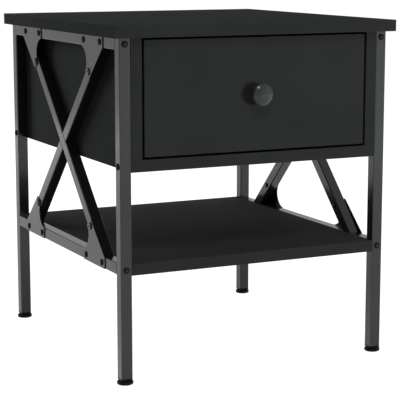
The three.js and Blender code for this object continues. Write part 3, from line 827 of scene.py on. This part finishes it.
def make_gusset(side, end, level):
    node = f"gusset_{level}_{end}_{side}"
    face = SIDES[side] * (FRAME_HALF_WIDTH + GUSSET_THICKNESS)
    back = SIDES[side] * FRAME_HALF_WIDTH
    direction = outwards("x", SIDES[side])

    def place(point, x):
        return Vector((x, MIDDLE_Y + ENDS[end] * point[0], BRACE_MIDDLE + LEVELS[level] * point[1]))

    mesh = new_mesh()
    rings = [[mesh.verts.new(place(point, x)) for point in gusset_outline()] for x in (back, face)]
    outer_face = skin(mesh, rings, closed_ends=True)
    round_edges(mesh, outer_face.edges[:], GUSSET_ROUNDING)
    finish(to_object(f"{node}_plate", mesh), FRAME_STEEL, "frame", [node])
    for number, distance in enumerate(GUSSET_SCREWS, 1):
        position = place((distance, RAIL_EDGE + TUBE / 2), face)
        turn = GUSSET_SCREW_TURN * number
        place_fastener(f"{node}_screw_{number}", SCREW_DATA, position, direction, turn=turn)
    place_fastener(f"{node}_bolt", BOLT_DATA, place((BAR_BOLT, BAR_BOLT), face), direction)
    if level == "lower":
        bar_inside = SIDES[side] * (FRAME_HALF_WIDTH - TUBE)
        make_nut(f"{node}_nut", place((BAR_BOLT, BAR_BOLT), bar_inside), -direction)


def make_nut(name, position, direction):
    """The riveted end of a brace bolt on the inside of its bar."""
    profile = [
        (0, NUT_HEIGHT),
        (NUT_FLAT_RADIUS, NUT_HEIGHT),
        *arc((NUT_RADIUS - NUT_ROUNDING, NUT_HEIGHT - NUT_ROUNDING), NUT_ROUNDING, start=80, end=0, steps=6),
        (NUT_RADIUS, 0),
        (0, 0),
    ]
    nut = to_object(name, turned_mesh(profile, steps=40))
    nut.data.materials.append(SCREW_BLACK)
    # The nut's top takes the paler material: a painted highlight.
    nut.data.materials.append(SCREW_CROWN_HIGHLIGHT)
    for face in nut.data.polygons:
        face.material_index = int(face.center.z > NUT_HEIGHT - NUT_HIGHLIGHT_DEPTH)
    nut.matrix_world = Matrix.Translation(position) @ facing(direction)
    finish(nut, SCREW_BLACK, "frame")


# ---- Boards ----

BAND = 0.8 * MM
BAND_ROUNDING = 0.35 * MM
CORE_ROUNDING = 0.21 * MM
EDGE_WORDS = {"-x": "left", "+x": "right", "-y": "front", "+y": "rear", "-z": "bottom", "+z": "top"}


def make_board(name, node, material, banded=(), body="frame"):
    """A board with a separate band on each edge named in banded, such as "-y" for its front edge."""
    low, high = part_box(node)
    core_low, core_high = low.copy(), high.copy()
    for edge in banded:
        axis = AXES[edge[1]]
        band_low, band_high = core_low.copy(), core_high.copy()
        if edge[0] == "-":
            band_high[axis] = low[axis] + BAND
            core_low[axis] = band_high[axis]
        else:
            band_low[axis] = high[axis] - BAND
            core_high[axis] = band_low[axis]
        band = block(f"{name}_band_{EDGE_WORDS[edge]}", band_low, band_high, BAND_ROUNDING)
        finish(band, EDGE_BAND, body)
    finish(block(name, core_low, core_high, CORE_ROUNDING), material, body, [node])


for side in SIDES:
    for end in ENDS:
        make_leg(side, end)
        make_foot(side, end)
        for level in LEVELS:
            make_gusset(side, end, level)
    for level in LEVELS:
        make_rail(side, level)
    make_brace(side)

make_board("top_board", "table_top", BOARD, ("-x", "+x", "-y", "+y"))
make_board("shelf_board", "shelf", SHADED_SHELF_BOARD, ("-y", "+y"))
make_board("carcass_bottom_board", "carcass_bottom", BOARD, ("-y", "+y"))
for side in SIDES:
    make_board(f"carcass_side_{side}_board", f"carcass_side_{side}", BOARD, ("-y", "+y"))
make_board("carcass_back_board", "carcass_back", BOARD)

# ---- Drawer ----

DRAWER_BOARD_ROUNDING = 0.4 * MM
PANEL_ROUNDING = 0.2 * MM
GROOVE_CLEARANCE = 0.2 * MM
GROOVE_OVERRUN = 10 * MM  # how far the groove's cutter goes past each end of the panel
KNOB_BASE_RADIUS = 10.9 * MM
KNOB_BASE_ROUNDING = 0.6 * MM
KNOB_STEP_RADIUS = 9.5 * MM
KNOB_STEP_ROUNDING = 0.5 * MM
KNOB_NECK_RADIUS = 7.5 * MM
KNOB_NECK_TOP = 12 * MM
KNOB_RIM = 1.2 * MM
KNOB_RIM_LOW = 13.6 * MM
KNOB_RIM_HIGH = 14.3 * MM
KNOB_FACE_START = 15.35 * MM
KNOB_FACE_INSET = 0.55 * MM
KNOB_SMOOTHING = 50  # degrees


def make_drawer_box():
    panel_low, panel_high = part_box("drawer_bottom")
    clearance = Vector((GROOVE_CLEARANCE, GROOVE_OVERRUN, GROOVE_CLEARANCE))
    for side in SIDES:
        node = f"drawer_side_{side}"
        board = block(f"{node}_board", *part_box(node), DRAWER_BOARD_ROUNDING)
        groove = new_mesh()
        add_box(groove, (panel_low + panel_high) / 2, panel_high - panel_low + 2 * clearance)
        cut(board, groove)
        finish(board, DRAWER_BOARD, "drawer", [node])
    back = block("drawer_back_board", *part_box("drawer_back"), DRAWER_BOARD_ROUNDING)
    finish(back, DRAWER_BOARD, "drawer", ["drawer_back"])
    panel_low.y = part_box("drawer_front")[1].y
    panel = block("drawer_bottom_panel", panel_low, panel_high, PANEL_ROUNDING)
    finish(panel, DRAWER_BOARD, "drawer", ["drawer_bottom"])


def make_knob():
    """A turned knob: a stepped base, a waisted neck and a head with a rounded face. Heights in its profile
    are distances from the drawer front."""
    low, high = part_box("knob")
    radius = (high.x - low.x) / 2
    base = [
        (0, 0),
        (KNOB_BASE_RADIUS, 0),
        *arc((KNOB_BASE_RADIUS, 0.7 * MM), KNOB_BASE_ROUNDING, start=-60, end=80, steps=5),
        (KNOB_STEP_RADIUS + 0.3 * MM, 1.5 * MM),
    ]
    step = [
        (KNOB_STEP_RADIUS, 1.9 * MM),
        (KNOB_STEP_RADIUS, 2.7 * MM),
        *arc((KNOB_STEP_RADIUS - KNOB_STEP_ROUNDING, 3.1 * MM), KNOB_STEP_ROUNDING, start=0, end=80, steps=4),
    ]
    neck = [
        (8.0 * MM, 4.1 * MM),
        (7.6 * MM, 5.2 * MM),
        (KNOB_NECK_RADIUS, 6.6 * MM),
        (7.9 * MM, 8.0 * MM),
        (9.0 * MM, 9.6 * MM),
        (10.8 * MM, 11.0 * MM),
        (12.6 * MM, KNOB_NECK_TOP),
    ]
    head = [
        *arc((radius - KNOB_RIM, KNOB_RIM_LOW), KNOB_RIM, start=-60, end=0, steps=4),
        *arc((radius - KNOB_RIM, KNOB_RIM_HIGH), KNOB_RIM, start=10, end=55, steps=5),
        *domed_face(radius - KNOB_FACE_INSET, KNOB_FACE_START, high.y - low.y, steps=12),
    ]
    knob = to_object("drawer_knob", turned_mesh(base + step + neck + head, steps=72))
    knob.data.materials.append(KNOB_COAT)
    # Faces below the neck's top take the darker copy of the coat: painted shade under the head.
    knob.data.materials.append(KNOB_NECK_SHADE)
    for face in knob.data.polygons:
        face.material_index = int(face.center.z < KNOB_NECK_TOP)
    place = Vector((0, high.y, (low.z + high.z) / 2))
    knob.matrix_world = Matrix.Translation(place) @ facing((0, -1, 0))
    finish(knob, KNOB_COAT, "drawer", ["knob"], smooth_angle=KNOB_SMOOTHING)


make_board("drawer_front_board", "drawer_front", BOARD, ("-x", "+x", "-z", "+z"), body="drawer")
make_drawer_box()
make_knob()

# ---- Runners ----

SHEET = 1.25 * MM
OUTER_BEND = 1.6 * MM
INNER_BEND = 0.35 * MM
SHEET_ROUNDING = 0.2 * MM
SHARP_BEND = math.radians(60)
AXLE_RADIUS = 2 * MM
AXLE_RIM = 0.35 * MM
AXLE_GAP = 0.1 * MM  # between the axle's end and the edge of the runner
RUNNER_SCREW_PLACES = (0.2, 0.5, 0.85)  # along a runner, as parts of its length
RUNNER_SCREW_HEIGHT = 0.55  # from the bend, as a part of the web's height
RUNNER_SCREW_RADIUS = 2.8 * MM
RUNNER_SCREW_HEAD = 1.1 * MM
RUNNER_SCREW_SHANK = 8 * MM
KNOB_SCREW_HEAD = 2 * MM
PAN_CROWN_DROP = 0.04 * MM
PAN_FOOT = 0.1 * MM

# Parts of a rounded head's height.
PAN_SHOULDER = 0.35
PAN_ROUNDING = 0.6

# Parts of a rounded head's radius.
PAN_CROWN = 0.45
PAN_ROUNDING_CENTRE = 0.55
PAN_RECESS_ARM = 0.62
PAN_RECESS_SLOT = 0.09

ROLLER_BORE = 2.2 * MM
ROLLER_BORE_CHAMFER = 0.1 * MM
ROLLER_HUB = 3.3 * MM
ROLLER_RIM = 0.6 * MM
ROLLER_DISH = 0.35 * MM
ROLLER_HUB_SLOPE = 0.25 * MM
ROLLER_TREAD = 1.1 * MM
ROLLER_TREAD_SLOPE = 0.2 * MM
MERGE_DISTANCE = 0.001 * MM


def pan_screw_data(name, radius, height, shank):
    """A screw that points down -Z, with a rounded head on top of z = 0 and a cross recess."""
    shoulder = height * PAN_SHOULDER
    rounding_centre = (radius * PAN_ROUNDING_CENTRE, shoulder)
    profile = [
        (0, height),
        (radius * PAN_CROWN, height - PAN_CROWN_DROP),
        *arc(rounding_centre, height * PAN_ROUNDING, start=80, end=0, steps=6)[:-1],
        (radius, shoulder),
        (radius, PAN_FOOT),
        (radius - PAN_FOOT, 0),
        (SCREW_SHANK_RADIUS, 0),
        (SCREW_SHANK_RADIUS, -shank),
        (0, -shank),
    ]
    piece = to_object(name, turned_mesh(profile, steps=40))
    recess = cross_cutter(height, radius * PAN_RECESS_ARM, radius * PAN_RECESS_SLOT, height / 2)
    # The faces of the cross recess take the matte black: painted shade.
    cut(piece, recess, SCREW_BLACK, RECESS_SHADE)
    return shared_data(piece)


def angle_mesh(place, along_x, along_z, start, end):
    """A sheet bent at a right angle. place(a, b, y) is the point at a along x and b along z from the outer
    corner of the bend."""
    section = [
        (along_x, 0),
        (along_x, SHEET),
        *arc((SHEET + INNER_BEND, SHEET + INNER_BEND), INNER_BEND, start=270, end=180, steps=4),
        (SHEET, along_z),
        (0, along_z),
        *arc((OUTER_BEND, OUTER_BEND), OUTER_BEND, start=180, end=270, steps=6),
    ]
    mesh = new_mesh()
    rings = [[mesh.verts.new(place(a, b, y)) for a, b in section] for y in (start, end)]
    skin(mesh, rings, closed_ends=True)
    sharp = [edge for edge in mesh.edges if edge.calc_face_angle(0) > SHARP_BEND]
    round_edges(mesh, sharp, SHEET_ROUNDING)
    return mesh


def make_runner(node, sign, body, web_outside, screw_data):
    """The carcass runner has its web against the carcass and its track below, the drawer runner has its web
    against the drawer and its flange above."""
    low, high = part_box(node)
    near, far = sorted((low.x, high.x), key=abs)
    width, length, height = abs(far - near), high.y - low.y, high.z - low.z
    web_x, away = (far, -sign) if web_outside else (near, sign)
    corner_z, up = (low.z, 1) if web_outside else (high.z, -1)

    def place(a, b, y):
        return Vector((web_x + away * a, y, corner_z + up * b))

    strip = to_object(f"{node}_angle", angle_mesh(place, width, height, low.y, high.y))
    finish(strip, RUNNER_BLACK, body, [node])

    roller_low, roller_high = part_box(node.replace("runner", "roller"))
    axle_start = (roller_low + roller_high) / 2
    axle_start.x = web_x
    reach = width - AXLE_GAP
    sections = [(AXLE_RADIUS, 0), (AXLE_RADIUS, reach - AXLE_RIM), (AXLE_RADIUS - AXLE_RIM, reach)]
    axle = new_mesh()
    add_rod(axle, axle_start, (away, 0, 0), sections)
    finish(to_object(f"{node}_axle", axle), SCREW_BLACK, body)

    screw_z = corner_z + up * height * RUNNER_SCREW_HEIGHT
    for number, part in enumerate(RUNNER_SCREW_PLACES, 1):
        position = Vector((web_x + away * SHEET, low.y + length * part, screw_z))
        turn = RUNNER_SCREW_TURN * number
        place_fastener(f"{node}_screw_{number}", screw_data, position, (away, 0, 0), body, turn=turn)


def make_roller(node, sign):
    """A nylon wheel with a rounded tread and a raised hub on each face, around a clear bore."""
    low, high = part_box(node)
    radius, half = (high.z - low.z) / 2, (high.x - low.x) / 2
    dish = half - ROLLER_DISH
    side = [
        (ROLLER_BORE, half - ROLLER_BORE_CHAMFER),
        (ROLLER_BORE + ROLLER_BORE_CHAMFER, half),
        (ROLLER_HUB, half),
        (ROLLER_HUB + ROLLER_HUB_SLOPE, dish),
        (radius - ROLLER_TREAD - ROLLER_TREAD_SLOPE, dish),
        (radius - ROLLER_TREAD, half),
        *arc((radius - ROLLER_RIM, half - ROLLER_RIM), ROLLER_RIM, start=90, end=0, steps=5),
    ]
    other_side = [(distance, -height) for distance, height in reversed(side)]
    mesh = turned_mesh(side + other_side + side[:1], steps=56)
    bmesh.ops.remove_doubles(mesh, verts=mesh.verts, dist=MERGE_DISTANCE)
    wheel = to_object(f"{node}_wheel", mesh)
    wheel.matrix_world = Matrix.Translation((low + high) / 2) @ facing((sign, 0, 0))
    finish(wheel, ROLLER_PLASTIC, node, [node])


def make_runners():
    screw_data = pan_screw_data("pan_screw", RUNNER_SCREW_RADIUS, RUNNER_SCREW_HEAD, RUNNER_SCREW_SHANK)
    for side, sign in SIDES.items():
        make_runner(f"cabinet_runner_{side}", sign, "frame", True, screw_data)
        make_runner(f"drawer_runner_{side}", sign, "drawer", False, screw_data)
        make_roller(f"cabinet_roller_{side}", sign)
        make_roller(f"drawer_roller_{side}", sign)


def make_knob_screw():
    low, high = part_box("knob_screw")
    shank = high.y - low.y - KNOB_SCREW_HEAD
    data = pan_screw_data("knob_screw_head", (high.x - low.x) / 2, KNOB_SCREW_HEAD, shank)
    position = Vector(((low.x + high.x) / 2, high.y - KNOB_SCREW_HEAD, (low.z + high.z) / 2))
    place_fastener("knob_screw_inside", data, position, (0, 1, 0), "drawer", ["knob_screw"])


make_runners()
make_knob_screw()

# ---- Floor ----

FLOOR_HALF = 30  # metres
FLOOR_GAP = 0.1 * MM  # keeps the undersides of the feet clear of the floor's face


def make_floor():
    mesh = new_mesh()
    bmesh.ops.create_grid(mesh, x_segments=1, y_segments=1, size=FLOOR_HALF)
    floor = to_object("floor", mesh)
    floor.location.z = -FLOOR_GAP
    floor.data.materials.append(floor_material())


make_floor()
